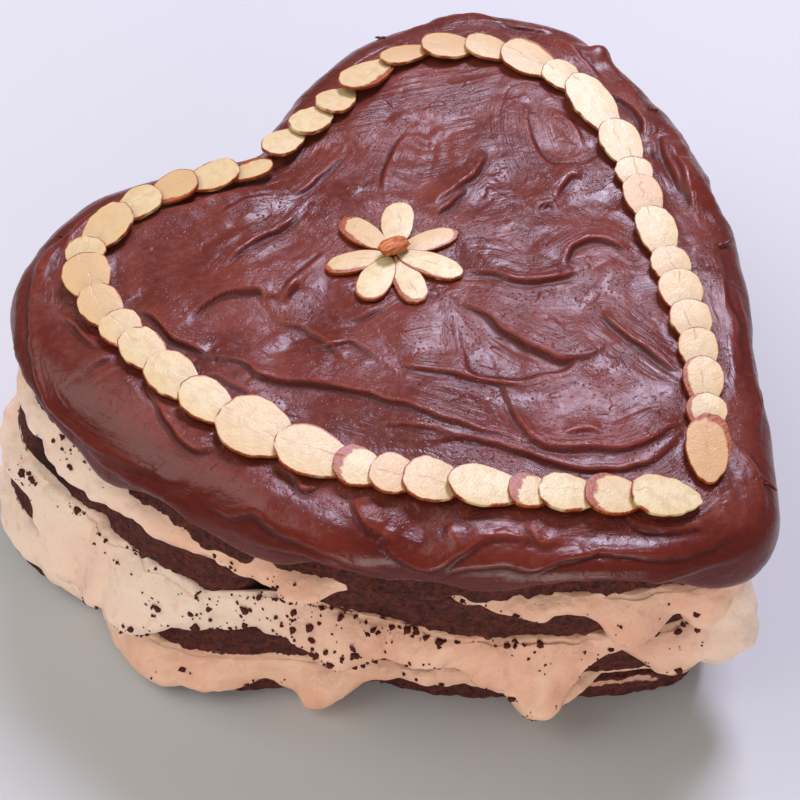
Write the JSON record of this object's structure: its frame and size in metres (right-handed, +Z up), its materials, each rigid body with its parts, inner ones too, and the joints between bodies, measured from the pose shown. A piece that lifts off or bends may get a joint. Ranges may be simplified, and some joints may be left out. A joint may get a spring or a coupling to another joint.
{
  "type": "black forest cake",
  "caption": "Heart-shaped layer cake of dark sponge and whipped cream under a knife-spread chocolate ganache cap, edged with overlapping sliced almonds round an almond flower.",
  "frame": {"origin": "on the surface that the cake stands on, under the middle of the box round the whole cake", "axes": "+Z up, -Y towards the point of the heart, +Y towards its notch, +X towards the lobe whose wall stands upright"},
  "size_m": [0.2562, 0.2453, 0.1045],
  "materials": {
    "sponge": "dry open crumb, dark chocolate brown",
    "cream": "soft whipped cream tinted pink by cherry juice, satin",
    "ganache": "knife-spread chocolate, half gloss",
    "almond": "cut almond, pale and dry",
    "almond_skin": "brown almond skin, finely streaked"
  },
  "bodies": {
    "root": {"sponge_1": "sponge", "sponge_2": "sponge", "sponge_3": "sponge", "sponge_4": "sponge", "cream_1": "cream", "cream_2": "cream", "cream_3": "cream", "ganache": "ganache", "almond_01": "almond", "almond_02": "almond", "almond_03": "almond", "almond_04": "almond", "almond_05": "almond", "almond_06": "almond", "almond_07": "almond", "almond_08": "almond", "almond_09": "almond", "almond_10": "almond", "almond_11": "almond", "almond_12": "almond", "almond_13": "almond", "almond_14": "almond", "almond_15": "almond", "almond_16": "almond", "almond_17": "almond", "almond_18": "almond", "almond_19": "almond", "almond_20": "almond", "almond_21": "almond", "almond_22": "almond", "almond_23": "almond", "almond_24": "almond", "almond_25": "almond", "almond_26": "almond", "almond_27": "almond", "almond_28": "almond", "almond_29": "almond", "almond_30": "almond", "almond_31": "almond", "almond_32": "almond", "almond_33": "almond", "almond_34": "almond", "almond_35": "almond", "almond_36": "almond", "almond_37": "almond", "almond_38": "almond", "almond_39": "almond", "almond_40": "almond", "almond_41": "almond", "almond_42": "almond", "almond_43": "almond", "petal_1": "almond", "petal_2": "almond", "petal_3": "almond", "petal_4": "almond", "petal_5": "almond", "petal_6": "almond", "petal_7": "almond", "flower_middle": "almond_skin"}
  },
  "joints": []
}
